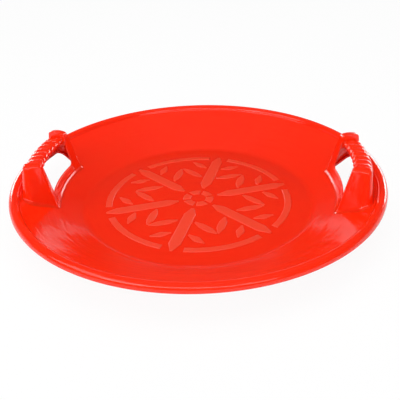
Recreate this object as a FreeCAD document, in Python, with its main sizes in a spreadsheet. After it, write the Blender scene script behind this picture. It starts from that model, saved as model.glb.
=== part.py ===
import FreeCAD, Part
import math
import os
import re

import Sketcher

# Driving sizes of the sled, in millimetres and degrees. Heights are above the underside of the floor,
# radii and angles are about the upright middle axis, and angles start at the middle of a handle. The
# handles are set in from the rim and down from the shoulders, so that they follow the dish.
SIZES = {
    # Dish: flat floor, flared wall and rolled rim
    "rim_radius": 300.0,
    "wall_width": 110.0,
    "wall_slope": 26.5,
    "wall_thickness": 3.0,
    "bend_radius": 28.0,
    "bead_radius": 8.0,
    "bead_sink": 4.25,
    "bead_fillet": 5.0,
    "skirt_drop": 3.0,
    # Handle box: leaning faces from the feet on the flared wall up to the shoulders
    "handle_height": 97.0,
    "foot_clearance": 1.75,
    "foot_depth": 50.75,
    "shoulder_depth": 27.75,
    "shoulder_setback": 7.5,
    "shoulder_chamfer": 3.0,
    "corner_chamfer": 6.0,
    # Ends of the box: half the hand opening, then the post's shoulder, then its spread down to the inner
    # foot, and how much further the outer foot spreads
    "window_angle": 12.9,
    "shoulder_span_angle": 3.2,
    "foot_spread_angle": 1.8,
    "foot_flare_angle": 1.8,
    # Upstand below the hand opening
    "sill_rise": 15.75,
    # Ribbed bar between the shoulders, lower and narrower than they are
    "grip_drop": 11.0,
    "grip_setback": 3.25,
    "grip_inset": 2.5,
    "grip_chamfer": 3.0,
    "flank_height": 10.5,
    "rib_count": 8,
    "rib_width_angle": 2.2,
    "rib_margin_angle": 0.9,
    "rib_rise": 2.0,
    # How far a cut runs past the face it opens
    "cut_overrun": 5.0,
}

# Sizes that follow from the driving ones. A face of the handle box is a straight line in section: its
# radius, or its angle for the end faces, is the base value plus the lean times the height.
WORKED_OUT = {
    "floor_radius": "rim_radius - wall_width",
    "cone_rise": "tan(wall_slope)",
    "cone_height": "wall_thickness - floor_radius * cone_rise",
    "bead_middle_radius": "rim_radius - bead_radius",
    "bead_middle_height": "cone_height + bead_middle_radius * cone_rise - bead_sink",
    "rim_height": "bead_middle_height + bead_radius",
    "bead_depth": "bead_sink * cos(wall_slope)",
    "bead_reach": "sqrt((bead_radius + bead_fillet)^2 - (bead_fillet + bead_depth)^2)",
    "bead_foot_radius": "bead_middle_radius - bead_depth * sin(wall_slope) - bead_reach * cos(wall_slope)",
    "foot_outer_radius": "bead_foot_radius - foot_clearance",
    "foot_inner_radius": "foot_outer_radius - foot_depth",
    "shoulder_outer_radius": "foot_outer_radius - shoulder_setback",
    "shoulder_inner_radius": "shoulder_outer_radius - shoulder_depth",
    "shoulder_angle": "window_angle + shoulder_span_angle",
    "foot_angle": "shoulder_angle + foot_spread_angle",
    "outer_foot_angle": "foot_angle + foot_flare_angle",
    "foot_inner_height": "cone_height + foot_inner_radius * cone_rise",
    "foot_outer_height": "cone_height + foot_outer_radius * cone_rise",
    "sill_height": "foot_inner_height + sill_rise",
    "edge_height": "handle_height - shoulder_chamfer",
    "under_shoulder_height": "handle_height - wall_thickness",
    "grip_height": "handle_height - grip_drop",
    "under_grip_height": "grip_height - wall_thickness",
    "lip_height": "grip_height - flank_height",
    "grip_inner_radius": "shoulder_inner_radius + grip_setback",
    "grip_outer_radius": "shoulder_outer_radius - grip_inset",
    "rib_pitch": "(2 * (window_angle - rib_margin_angle) - rib_width_angle) / (rib_count - 1)",
    "inner_lean": "(shoulder_inner_radius - foot_inner_radius) / (edge_height - foot_inner_height)",
    "outer_lean": "(shoulder_outer_radius - foot_outer_radius) / (edge_height - foot_outer_height)",
    "back_lean": "(grip_outer_radius - foot_outer_radius) / (grip_height - foot_outer_height)",
    "end_lean": "(shoulder_angle - foot_angle) / (edge_height - foot_inner_height)",
    "outer_end_lean": "(shoulder_angle - outer_foot_angle) / (edge_height - foot_outer_height)",
    "inner_base": "foot_inner_radius - foot_inner_height * inner_lean",
    "outer_base": "foot_outer_radius - foot_outer_height * outer_lean",
    "back_base": "foot_outer_radius - foot_outer_height * back_lean",
    "end_base": "foot_angle - foot_inner_height * end_lean",
    "outer_end_base": "outer_foot_angle - foot_outer_height * outer_end_lean",
    "wall_turn": "wall_thickness / foot_inner_radius * 180 / pi",
    "chamfer_turn": "shoulder_chamfer / shoulder_inner_radius * 180 / pi",
    "corner_turn": "corner_chamfer / shoulder_outer_radius * 180 / pi",
    "overrun_turn": "cut_overrun / foot_inner_radius * 180 / pi",
    "inner_spread": "1 - inner_lean * cone_rise",
    "back_spread": "1 - back_lean * cone_rise",
    "hole_inner_radius": "(inner_base + wall_thickness + inner_lean * cone_height) / inner_spread",
    "hole_outer_radius": "(back_base - wall_thickness + back_lean * cone_height) / back_spread",
    "hole_angle": "foot_angle - wall_turn",
}

# Each handle is drawn at +X and turned to its side. The front is -Y, so the sign of Y in that drawing
# follows both the end and the side.
HANDLES = {"right": 0, "left": 180}
ENDS = {"right": {"front": "-", "rear": ""}, "left": {"front": "", "rear": "-"}}
UP = FreeCAD.Vector(0, 0, 1)
SKETCH_UP = FreeCAD.Vector(0, 1, 0)

doc = FreeCAD.newDocument("saucer_sled")


def fill_sheet():
    """Write every size into the sheet, one row each, with its name as the cell's alias."""
    sheet = doc.addObject("Spreadsheet::Sheet", "Sizes")
    cells = [(name, str(value)) for name, value in SIZES.items()]
    cells += [(name, "=" + words) for name, words in WORKED_OUT.items()]
    for row, (name, content) in enumerate(cells, start=1):
        sheet.set(f"A{row}", name)
        sheet.set(f"B{row}", content)
        sheet.setAlias(f"B{row}", name)
    doc.recompute()


def size(name):
    """Value of a size, driving or worked out, as the sheet holds it."""
    return float(doc.Sizes.get(name))


def in_sheet(words):
    """Formula in size names, with each name pointed at its cell."""
    return re.sub(r"[a-z]+(_[a-z]+)+", lambda name: "Sizes." + name.group(), words)


def new_body(name, turn):
    """Empty body for one piece, turned about the middle axis to its handle."""
    body = doc.addObject("PartDesign::Body", name)
    body.Label = name
    body.Placement = FreeCAD.Placement(FreeCAD.Vector(), FreeCAD.Rotation(UP, turn))
    return body


def new_sketch(body, name, plane):
    """Empty sketch on one of the body's own origin planes."""
    sketch = body.newObject("Sketcher::SketchObject", name)
    support = [item for item in body.Origin.OriginFeatures if item.Role == plane]
    sketch.AttachmentSupport = [(support[0], "")]
    sketch.MapMode = "FlatFace"
    return sketch


def bind(sketch, constraint, words):
    """Add a constraint whose size is a formula in size names."""
    index = sketch.addConstraint(constraint)
    sketch.setExpression(f"Constraints[{index}]", in_sheet(words))


def polygon(body, name, plane, corners):
    """Closed outline of straight edges, each corner a pair of formulas in size names."""
    sketch = new_sketch(body, name, plane)
    count = len(corners)
    ring = [FreeCAD.Vector(math.cos(math.tau * i / count), math.sin(math.tau * i / count), 0)
            for i in range(count)]
    for i in range(count):
        sketch.addGeometry(Part.LineSegment(ring[i], ring[(i + 1) % count]))
    for i, (across, along) in enumerate(corners):
        sketch.addConstraint(Sketcher.Constraint("Coincident", i, 2, (i + 1) % count, 1))
        bind(sketch, Sketcher.Constraint("DistanceX", -1, 1, i, 1, ring[i].x), across)
        bind(sketch, Sketcher.Constraint("DistanceY", -1, 1, i, 1, ring[i].y), along)
    return sketch


def revolve(body, kind, name, sketch, angle):
    """Revolution or Groove of a section about the middle axis, half the angle to each side."""
    feature = body.newObject("PartDesign::" + kind, name)
    feature.Profile = sketch
    feature.ReferenceAxis = (sketch, ["V_Axis"])
    feature.Midplane = True
    feature.setExpression("Angle", in_sheet(angle))
    return feature


def loft(body, kind, name, sections):
    """Straight-sided AdditiveLoft or SubtractiveLoft through sections from the bottom up."""
    feature = body.newObject("PartDesign::" + kind, name)
    feature.Profile = sections[0]
    feature.Sections = sections[1:]
    feature.Ruled = True
    return feature


def dish_section(body):
    """Section of the dish: floor, bend, cone, fillet, bead and skirt, with the underside one wall below.

    The arcs of the underside share the centres of the arcs above them, so the wall keeps its thickness.
    """
    wall, rim = size("wall_thickness"), size("rim_radius")
    bend, bead, fillet = size("bend_radius"), size("bead_radius"), size("bead_fillet")
    slope = math.radians(size("wall_slope"))
    along = FreeCAD.Vector(math.cos(slope), math.sin(slope), 0)
    square = FreeCAD.Vector(-math.sin(slope), math.cos(slope), 0)
    corner = FreeCAD.Vector(size("floor_radius"), wall, 0)
    bend_centre = corner + FreeCAD.Vector(-bend * math.tan(slope / 2), bend, 0)
    bead_centre = FreeCAD.Vector(size("bead_middle_radius"), size("bead_middle_height"), 0)
    foot = (bead_centre - corner).dot(along) - size("bead_reach")
    fillet_centre = corner + along * foot + square * fillet
    meet = math.atan2(bead_centre.y - fillet_centre.y, bead_centre.x - fillet_centre.x)
    skirt = bead_centre.y - size("skirt_drop")

    def point(centre, radius, angle):
        return centre + FreeCAD.Vector(radius * math.cos(angle), radius * math.sin(angle), 0)

    def arc(centre, radius, start, end):
        return Part.ArcOfCircle(Part.Circle(centre, UP, radius), start, end)

    def line(start, end):
        return Part.LineSegment(start, end)

    down = -math.pi / 2
    sketch = new_sketch(body, "dish_section", "XZ_Plane")
    for drop in (0, wall):
        bend_arc = arc(bend_centre, bend + drop, down, down + slope)
        fillet_arc = arc(fillet_centre, fillet + drop, down + slope, meet)
        bead_arc = arc(bead_centre, bead - drop, 0, math.pi + meet)
        sketch.addGeometry([
            line(FreeCAD.Vector(0, wall - drop, 0), point(bend_centre, bend + drop, down)),
            bend_arc,
            line(bend_arc.EndPoint, fillet_arc.StartPoint),
            fillet_arc,
            bead_arc,
            line(bead_arc.StartPoint, FreeCAD.Vector(rim - drop, skirt, 0)),
        ])
    sketch.addGeometry(line(FreeCAD.Vector(rim, skirt, 0), FreeCAD.Vector(rim - wall, skirt, 0)))
    sketch.addGeometry(line(FreeCAD.Vector(0, 0, 0), FreeCAD.Vector(0, wall, 0)))
    floor, bend_up, cone, fillet_up, bead_up, skirt_out = range(6)
    floor_low, bend_low, cone_low, fillet_low, bead_low, skirt_in = range(6, 12)
    hem, axis = 12, 13
    joins = []
    for base in (0, 6):
        joins += [
            ("Tangent", base + floor, 2, base + bend_up, 1),
            ("Tangent", base + bend_up, 2, base + cone, 1),
            ("Tangent", base + cone, 2, base + fillet_up, 1),
            ("Tangent", base + fillet_up, 2, base + bead_up, 2),
            ("Tangent", base + bead_up, 1, base + skirt_out, 1),
        ]
    joins += [
        ("Coincident", bend_low, 3, bend_up, 3),
        ("Coincident", fillet_low, 3, fillet_up, 3),
        ("Coincident", bead_low, 3, bead_up, 3),
        ("Parallel", cone_low, cone),
        ("Coincident", skirt_out, 2, hem, 1),
        ("Coincident", skirt_in, 2, hem, 2),
        ("Coincident", floor_low, 1, -1, 1),
        ("Coincident", axis, 1, -1, 1),
        ("Coincident", axis, 2, floor, 1),
        ("Vertical", axis),
        ("Horizontal", floor),
        ("Horizontal", floor_low),
        ("Horizontal", hem),
        ("Vertical", skirt_out),
    ]
    for kind, *ends in joins:
        sketch.addConstraint(Sketcher.Constraint(kind, *ends))
    bind(sketch, Sketcher.Constraint("DistanceY", -1, 1, floor, 1, wall), "wall_thickness")
    bind(sketch, Sketcher.Constraint("Radius", bend_up, bend), "bend_radius")
    bind(sketch, Sketcher.Constraint("Radius", fillet_up, fillet), "bead_fillet")
    bind(sketch, Sketcher.Constraint("Radius", bead_up, bead), "bead_radius")
    bind(sketch, Sketcher.Constraint("Angle", cone, slope), "wall_slope * 1 deg")
    bind(sketch, Sketcher.Constraint("DistanceX", -1, 1, bend_up, 3, bend_centre.x),
         "floor_radius - bend_radius * tan(wall_slope / 2)")
    bind(sketch, Sketcher.Constraint("DistanceX", -1, 1, skirt_out, 2, rim), "rim_radius")
    bind(sketch, Sketcher.Constraint("DistanceY", -1, 1, skirt_out, 2, skirt),
         "bead_middle_height - skirt_drop")
    bind(sketch, Sketcher.Constraint("DistanceY", -1, 1, bead_up, 3, bead_centre.y), "bead_middle_height")
    return sketch


def make_dish():
    """Round dish with an open hole through its flared wall under each handle box."""
    body = new_body("dish", 0)
    revolve(body, "Revolution", "dish_shell", dish_section(body), "360")
    low, high = "-cut_overrun", "rim_height + cut_overrun"
    hole_section = polygon(body, "hole_section", "XZ_Plane", [
        ("hole_inner_radius", low),
        ("hole_outer_radius", low),
        ("hole_outer_radius", high),
        ("hole_inner_radius", high),
    ])
    hole = revolve(body, "Groove", "hand_hole", hole_section, "2 * hole_angle")
    pair = body.newObject("PartDesign::PolarPattern", "hand_holes")
    pair.Originals = [hole]
    pair.Axis = (hole_section, ["V_Axis"])
    pair.Occurrences = len(HANDLES)
    body.Tip = pair
    return body


def make_sill(side):
    """Low upstand along the inner edge of a hand opening, standing on the flared wall."""
    body = new_body(f"{side}_sill", HANDLES[side])
    top = "inner_base + inner_lean * sill_height"
    section = polygon(body, f"{side}_sill_section", "XZ_Plane", [
        ("foot_inner_radius", "foot_inner_height"),
        ("hole_inner_radius", "cone_height + hole_inner_radius * cone_rise"),
        (top + " + wall_thickness", "sill_height"),
        (top, "sill_height"),
    ])
    revolve(body, "Revolution", f"{side}_sill_arc", section, "2 * window_angle")
    return body


def make_grip(side):
    """Ribbed bar between the shoulders: an inner flank, a top, and a wall down to the dish behind."""
    body = new_body(f"{side}_grip", HANDLES[side])
    back = "back_base + back_lean * "
    bevel = "(grip_height - grip_chamfer)"
    inner_edge = ("grip_inner_radius", bevel)
    back_edge = (back + bevel, bevel)
    inner_top = "grip_inner_radius + grip_chamfer"
    back_top = "grip_outer_radius - grip_chamfer"
    section = polygon(body, f"{side}_grip_section", "XZ_Plane", [
        ("grip_inner_radius", "lip_height"),
        inner_edge,
        (inner_top, "grip_height"),
        (back_top, "grip_height"),
        back_edge,
        ("foot_outer_radius", "foot_outer_height"),
        ("hole_outer_radius", "cone_height + hole_outer_radius * cone_rise"),
        (back + "under_grip_height - wall_thickness", "under_grip_height"),
        ("grip_inner_radius + wall_thickness", "under_grip_height"),
        ("grip_inner_radius + wall_thickness", "lip_height"),
    ])
    revolve(body, "Revolution", f"{side}_grip_arc", section, "2 * window_angle")
    rib_section = polygon(body, f"{side}_rib_section", "XZ_Plane", [
        inner_edge,
        (inner_top, "grip_height + rib_rise"),
        (back_top, "grip_height + rib_rise"),
        back_edge,
        (back_top, "(grip_height + under_grip_height) / 2"),
        (inner_top, "(grip_height + under_grip_height) / 2"),
    ])
    half_turn = "(rib_count - 1) / 2 * rib_pitch"
    first_rib = FreeCAD.Rotation(SKETCH_UP, -(size("rib_count") - 1) / 2 * size("rib_pitch"))
    rib_section.AttachmentOffset = FreeCAD.Placement(FreeCAD.Vector(), first_rib)
    rib_section.setExpression("AttachmentOffset.Rotation.Angle", in_sheet(f"-({half_turn})"))
    rib = revolve(body, "Revolution", f"{side}_rib", rib_section, "rib_width_angle")
    ribs = body.newObject("PartDesign::PolarPattern", f"{side}_ribs")
    ribs.Originals = [rib]
    ribs.Axis = (rib_section, ["V_Axis"])
    ribs.setExpression("Occurrences", in_sheet("rib_count"))
    ribs.setExpression("Angle", in_sheet(f"2 * {half_turn}"))
    body.Tip = ribs
    return body


def post_section(body, name, sign, height, inner, outer, window, end, outer_end):
    """Level section of a post from its window angle to its end angles, with the outer corner cut off."""
    places = [
        (inner, window),
        (inner, end),
        (f"{outer} - corner_chamfer", outer_end),
        (outer, f"{outer_end} - corner_turn"),
        (outer, window),
    ]
    sketch = polygon(body, name, "XY_Plane", [
        (f"({radius}) * cos({angle})", f"{sign}({radius}) * sin({angle})") for radius, angle in places
    ])
    sketch.setExpression("AttachmentOffset.Base.z", in_sheet(height))
    return sketch


def make_post(side, end):
    """Hollow end block of a handle: leaning faces and a bevelled shoulder, open below and to the window.

    Above the underside of the bar a wall closes the shoulder's side, where the bar meets it.
    """
    name = f"{side}_{end}_post"
    sign = ENDS[side][end]
    body = new_body(name, HANDLES[side])
    edge = ["shoulder_inner_radius", "shoulder_outer_radius", "window_angle"] + 2 * ["shoulder_angle"]
    bevel = [" + shoulder_chamfer", " - shoulder_chamfer", ""] + 2 * [" - chamfer_turn"]
    blocks = [
        ("0", "inner_base", "outer_base", "window_angle", "end_base", "outer_end_base"),
        ("edge_height", *edge),
        ("handle_height", *(place + cut for place, cut in zip(edge, bevel))),
    ]
    loft(body, "AdditiveLoft", f"{name}_block", [
        post_section(body, f"{name}_section_{i}", sign, *block) for i, block in enumerate(blocks)
    ])
    hollows = {
        "inside": ("0", "under_grip_height", "window_angle - overrun_turn"),
        "inside_shoulder": ("under_grip_height", "under_shoulder_height", "window_angle + wall_turn"),
    }
    for hollow, (low, high, window) in hollows.items():
        loft(body, "SubtractiveLoft", f"{name}_{hollow}", [
            post_section(body, f"{name}_{hollow}_{i}", sign, height,
                         f"inner_base + inner_lean * {height} + wall_thickness",
                         f"outer_base + outer_lean * {height} - wall_thickness",
                         window,
                         f"end_base + end_lean * {height} - wall_turn",
                         f"outer_end_base + outer_end_lean * {height} - wall_turn")
            for i, height in enumerate((low, high))
        ])
    inner, outer = "inner_base - cut_overrun", "outer_base + cut_overrun"
    below_dish = polygon(body, f"{name}_below_dish", "XZ_Plane", [
        (inner, "-cut_overrun"),
        (outer, "-cut_overrun"),
        (outer, f"cone_height + ({outer}) * cone_rise"),
        (inner, f"cone_height + ({inner}) * cone_rise"),
    ])
    revolve(body, "Groove", f"{name}_foot", below_dish, "360")
    return body


def check(pieces):
    """Stop on any failed feature, and on a piece that isn't one valid solid."""
    for item in doc.Objects:
        if "Invalid" in item.State or "Error" in item.State:
            raise RuntimeError(f"{item.Name} failed: {item.State}")
    for piece in pieces:
        shape = piece.Shape
        if shape.isNull() or not shape.isValid() or len(shape.Solids) != 1:
            raise RuntimeError(f"{piece.Label} is not one valid solid")


def main():
    fill_sheet()
    pieces = [make_dish()]
    for side in HANDLES:
        pieces += [make_sill(side), make_grip(side)]
        pieces += [make_post(side, end) for end in ENDS[side]]
    doc.recompute()
    check(pieces)
    os.makedirs("parts", exist_ok=True)
    for piece in pieces:
        piece.Shape.exportStep(f"parts/{piece.Label}.step")
        box = piece.Shape.optimalBoundingBox()
        print(f"{piece.Label}: {piece.Shape.Volume:.0f} mm3, x {box.XMin:.1f} to {box.XMax:.1f},"
              f" y {box.YMin:.1f} to {box.YMax:.1f}, z {box.ZMin:.1f} to {box.ZMax:.1f}")


main()
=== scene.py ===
"""Saucer sled: a glossy red dish with a flared wall, a rolled rim and two raised, ribbed hand grips.

Every piece is a surface given by a formula on a grid of two parameters. Sizes are metres and angles are
radians, in the frame of the solid model: X to the right grip, Y to the rear, Z up from the underside.
"""

import math

import bmesh
import bpy
import numpy as np
from bpy.props import FloatProperty, FloatVectorProperty, IntProperty, PointerProperty
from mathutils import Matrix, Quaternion, Vector


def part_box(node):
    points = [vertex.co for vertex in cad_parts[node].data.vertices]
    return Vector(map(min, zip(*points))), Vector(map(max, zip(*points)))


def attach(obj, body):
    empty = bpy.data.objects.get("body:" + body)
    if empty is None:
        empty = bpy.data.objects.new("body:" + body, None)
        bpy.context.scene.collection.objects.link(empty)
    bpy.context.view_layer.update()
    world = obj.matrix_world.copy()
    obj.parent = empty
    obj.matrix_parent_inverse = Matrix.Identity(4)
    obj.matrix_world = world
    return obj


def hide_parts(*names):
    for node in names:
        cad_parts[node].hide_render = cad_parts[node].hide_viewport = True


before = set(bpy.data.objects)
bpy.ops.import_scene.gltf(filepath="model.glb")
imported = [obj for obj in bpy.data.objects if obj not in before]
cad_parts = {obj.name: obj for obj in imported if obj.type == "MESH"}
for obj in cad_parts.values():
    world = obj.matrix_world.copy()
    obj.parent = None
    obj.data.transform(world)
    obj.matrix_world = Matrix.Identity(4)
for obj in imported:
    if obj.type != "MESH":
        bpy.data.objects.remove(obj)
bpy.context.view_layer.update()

bl_info = {
    "name": "Saucer sled",
    "version": (1, 0, 0),
    "blender": (4, 5, 0),
    "location": "3D View > Sidebar > Sled",
    "description": "Builds a moulded snow saucer with two ribbed hand grips",
    "category": "Add Mesh",
}

MM = 0.001
BODY = "root"
QUARTER = math.pi / 2
HANDLES = {"right": 0.0, "left": math.pi}
ENDS = {"right": {"front": -1, "rear": 1}, "left": {"front": 1, "rear": -1}}
DISH_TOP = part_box("dish")[1]
POST_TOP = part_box("right_rear_post")[1]

# Grid cells along each stretch of a surface
FLOOR_CELLS, BEND_CELLS, FILLET_CELLS, BEAD_CELLS, SKIRT_CELLS, HEM_CELLS = 22, 12, 8, 18, 2, 4
CONE_CELLS = (14, 12, 8, 4)
HOLE_CELLS, RING_CELLS = 36, 150
POST_CELLS = (6, 6, 8, 10, 6)
EDGE_CELLS, SIDE_CELLS, ROUND_CELLS, ROOF_CELLS = 4, 12, 8, 10
GRIP_CELLS, SILL_CELLS, FLANK_CELLS, CROWN_CELLS, BACK_CELLS = 300, 120, 10, 16, 24
BAR_CELLS, BEVEL_CELLS, FLOOR_SIDES, CARD_SIDES = 8, 3, 96, 24
SMOOTH_LIMIT = math.radians(40)
SAME_PLACE = 1e-6
SETTLE_STEPS = 8

# Warp of the wall: waves round the dish, their twist and shift, and their share of the height
WAVES = ((3, 4, 0, 1), (7, -5, 1.3, 0.8), (13, 9, 0.4, 0.6))
WARP_FULL, WARP_FADES = 0.25, 0.8

# Fall of a shoulder across and along, as shares of its edge drop, and where a rib starts on the flank
ROOF_ACROSS, ROOF_ALONG, RIB_START = 0.75, 0.5, 0.2

# Values of the shader and of the noises of the plastic
PLASTIC = {
    "IOR": 1.5,
    "Subsurface Weight": 0.35,
    "Subsurface Radius": (1, 0.15, 0.05),
    "Subsurface Scale": 7 * MM,
}
FLOW = {"Scale": 9, "Detail": 3, "Distortion": 0.6}
GRAIN = {"Detail": 2}
STREAK = {"Scale": 3, "Detail": 2, "Distortion": 0.8}
STREAKS_OUTWARDS = 40

# Glow of the surroundings at heights above the horizon, in degrees
SKY = ((2.5, 0.9), (5, 0.4), (7, 0.6), (9, 0.6), (11, 0.15), (30, 0.06), (70, 0.15))
WHITE, FLOOR_GREY, CARD_BLACK = (1, 1, 1, 1), (0.85, 0.85, 0.85, 1), (0.02, 0.02, 0.02, 1)
FLOOR_GLOW = 0.93

# Lights that face the middle of the floor: place, width, depth, power, and whether the gloss shows them
LIGHTS = {
    "overhead": ((0, 0, 2.2), 2.4, 2.4, 34, False),
    "front_right": ((1.7, -1.7, 0.8), 1.2, 0.8, 8, False),
    "front_left": ((-1.7, -1.7, 0.8), 1.2, 0.8, 8, False),
    "back_right": ((2.26, 3.22, 0.73), 2.14, 0.95, 44, True),
    "back_left": ((-2.5, 3, 0.87), 1.45, 1.05, 33, True),
    "left_side": ((-1.73, -1, 1.67), 1.8, 1.3, 16, True),
    "above_camera": ((0, -2.4, 2), 5, 0.8, 45, True),
}


def length(name, description, default):
    """A length setting, with its default in millimetres."""
    return FloatProperty(name=name, description=description, default=default * MM, unit="LENGTH",
                         precision=5)


def turning(name, description, degrees):
    """An angle setting, with its default in degrees."""
    return FloatProperty(name=name, description=description, default=math.radians(degrees), subtype="ANGLE")


def colour(name, description, default):
    """A colour setting."""
    return FloatVectorProperty(name=name, description=description, default=default, subtype="COLOR",
                               size=3, min=0, max=1)


def amount(name, description, default):
    """A plain number setting."""
    return FloatProperty(name=name, description=description, default=default, precision=4)


class SledDishSettings(bpy.types.PropertyGroup):
    """Sizes of the dish."""

    rim_radius: length("Rim radius", "Middle axis to the outside of the rim", DISH_TOP.x / MM)
    rim_height: length("Rim height", "Underside of the floor to the top of the rolled rim", DISH_TOP.z / MM)
    wall_width: length("Wall width", "Edge of the flat floor to the outside of the rim", 110)
    wall_slope: turning("Wall slope", "Rise of the flared wall", 26.5)
    wall_thickness: length("Wall thickness", "Thickness of the moulding", 3)
    bend_radius: length("Bend radius", "Bend between the floor and the wall", 28)
    bead_radius: length("Bead radius", "Outside of the rolled rim", 8)
    bead_fillet: length("Bead fillet", "Hollow between the wall and the rolled rim", 5)
    skirt_drop: length("Skirt drop", "Straight edge below the rolled rim", 3)
    ripple: length("Ripple", "Height of the slight warp of the wall", 0.12)
    ripple_start: turning("Ripple start", "Angle from the middle of a grip where the warp starts", 19)
    ripple_full: turning("Ripple full", "Angle from the middle of a grip where the warp is full", 28)


class SledHandleSettings(bpy.types.PropertyGroup):
    """Sizes of a hand grip, its posts and its sill."""

    height: length("Height", "Underside of the floor to the top of a shoulder", POST_TOP.z / MM)
    foot_clearance: length("Foot clearance", "Outer foot to the hollow below the rolled rim", 1.75)
    foot_depth: length("Foot depth", "Outer foot to inner foot", 50.75)
    shoulder_setback: length("Shoulder setback", "Lean of the outer face", 7.5)
    shoulder_depth: length("Shoulder depth", "Outer to inner edge of a shoulder", 27.75)
    edge_drop: length("Edge drop", "Top of a shoulder to its edge", 3)
    window_angle: turning("Window angle", "Half the hand opening", 12.9)
    shoulder_span: turning("Shoulder span", "Width of a post at its shoulder", 3.2)
    foot_spread: turning("Foot spread", "How far a post widens down to its foot", 1.8)
    foot_flare: turning("Foot flare", "How much wider the foot is at its outer corner", 1.8)
    inner_corner: length("Inner corner", "Rounding of the upright inner edge of a post", 3)
    outer_corner: length("Outer corner", "Rounding of the upright outer edge of a post at its top", 7)
    foot_corner: length("Foot corner", "Rounding of the upright outer edge of a post at its foot", 15)
    top_rounding: length("Top rounding", "Rounding along the edge of a shoulder", 3.2)
    edge_rounding: length("Edge rounding", "Rounding of the free edges at the hand opening", 1.4)
    foot_fillet: length("Foot fillet", "Hollow where a post stands on the wall", 5)
    rim_share: amount("Rim share", "Share of the foot fillet's width next to the rim", 0.25)
    fillet_sink: length("Fillet sink", "How far a fillet's edge lies in the wall", 0.1)
    hole_margin: length("Hole margin", "How far the hole's edge lies inside the pieces round it", 0.3)
    sill_rise: length("Sill rise", "Height of the upstand below the hand opening", 15.75)
    window_corner: length("Window corner", "Rounding of the corners of the hand opening", 8)
    lip_corner: length("Lip corner", "Rounding of the bar's lip into a post", 4)
    grip_drop: length("Grip drop", "Top of a shoulder to the top of the bar", 11)
    grip_setback: length("Grip setback", "Inner edge of a shoulder to the bar's flank", 3.25)
    grip_inset: length("Grip inset", "How far the bar's top stands in from the outer face", 2.5)
    grip_corner: length("Grip corner", "Hollow where the bar's flank meets a post", 4)
    grip_crown: length("Grip crown", "Rise of the bar's top between its edges", 0.3)
    grip_rounding: length("Grip rounding", "Rounding of the bar's two upper edges", 7.5)
    flank_height: length("Flank height", "Depth of the bar's inner flank", 10.5)
    rib_count: IntProperty(name="Ribs", description="Number of ribs across the bar", default=8)
    rib_pitch: turning("Rib pitch", "From one rib to the next", 3.114)
    rib_width: turning("Rib width", "Width of one rib", 2.7)
    rib_rise: length("Rib rise", "Height of a rib", 2)
    rib_reach: length("Rib reach", "How far a rib runs down behind the bar", 13)


class SledReliefSettings(bpy.types.PropertyGroup):
    """Sizes of the plain snow crystal raised on the floor."""

    arms: IntProperty(name="Arms", description="Number of arms", default=6)
    turn: turning("Turn", "Direction of the first arm", 20)
    rise: length("Rise", "Height above the floor", 0.9)
    sink: length("Sink", "Depth of a bar's base in the floor", 0.5)
    bevel: length("Bevel", "Width of the sloping edge of a bar", 1.2)
    point: length("Point", "Length of a bar's pointed end", 15)
    tip_share: amount("Tip share", "Width left at the very tip of a bar", 0.2)
    arm_start: length("Arm start", "Middle to the inner end of an arm", 34)
    arm_end: length("Arm end", "Middle to the outer end of an arm", 156)
    arm_width: length("Arm width", "Width of an arm", 19)
    branch_width: length("Branch width", "Width of a side branch", 13)
    branch_turn: turning("Branch turn", "Direction of a branch from its arm", 60)
    branch_gap: length("Branch gap", "Bare floor between an arm and its branches", 4)
    inner_branch: length("Inner branch", "Middle to the root of the inner branches", 74)
    inner_branch_length: length("Inner branch length", "Length of the inner branches", 48)
    outer_branch: length("Outer branch", "Middle to the root of the outer branches", 110)
    outer_branch_length: length("Outer branch length", "Length of the outer branches", 34)
    ring_radius: length("Ring radius", "Middle to the middle of a ring section", 150)
    ring_width: length("Ring width", "Width of a ring section", 11)
    ring_gap: length("Ring gap", "Bare floor between a ring section and an arm", 8)
    hub_radius: length("Hub radius", "Middle to the middle of the hub ring", 19)


class SledFinishSettings(bpy.types.PropertyGroup):
    """Colours and gloss of the plastic."""

    red: colour("Red", "Plain colour of the plastic", (0.92, 0.025, 0.0035))
    deep_red: colour("Deep red", "Colour of the slight flow marks", (0.89, 0.019, 0.0025))
    gloss_roughness: amount("Gloss roughness", "Roughness of the polished surface", 0.11)
    satin_red: colour("Satin red", "Colour of the raised, textured surface", (0.93, 0.075, 0.032))
    satin_roughness: amount("Satin roughness", "Roughness of the textured surface", 0.42)


class SledStageSettings(bpy.types.PropertyGroup):
    """Camera, floor and light."""

    distance: length("Distance", "Middle of the floor to the camera", 930.7)
    azimuth: turning("Azimuth", "Direction of the camera round the sled", 5.958)
    elevation: turning("Elevation", "Camera above the horizon", 30.373)
    roll: turning("Roll", "Tilt of the camera about its own axis", -1.892)
    aim_side: length("Aim side", "Distance to the right that the camera points at", 2.65)
    aim_height: length("Aim height", "Height that the camera points at", -0.6)
    lens: FloatProperty(name="Lens", description="Focal length", default=49.49, unit="CAMERA")
    floor_radius: length("Floor radius", "Size of the floor", 8000)
    floor_gap: length("Floor gap", "Depth of the floor below the sled", 0.3)
    card_radius: length("Card radius", "Middle to the dark card behind the camera", 3000)
    card_height: length("Card height", "Height of the dark card", 800)


def arc(centre, radius, start, end, count):
    """Points of a circle in the section plane: centre plus radius times (cos, sin), from start to end."""
    turn = np.linspace(start, end, count + 1)
    return np.stack((centre[0] + radius * np.cos(turn), centre[1] + radius * np.sin(turn)), axis=-1)


def line(start, end, parts):
    """Points of a straight run at the given shares of its length, which are a column of rows."""
    return (1 - parts) * np.asarray(start) + parts * np.asarray(end)


def chain(*runs):
    """One outline from runs that each start where the last one ended."""
    return np.concatenate([runs[0]] + [run[1:] for run in runs[1:]])


def shares(count):
    """Even shares from 0 to 1, as a column of rows."""
    return np.linspace(0, 1, count + 1)[:, None]


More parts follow.
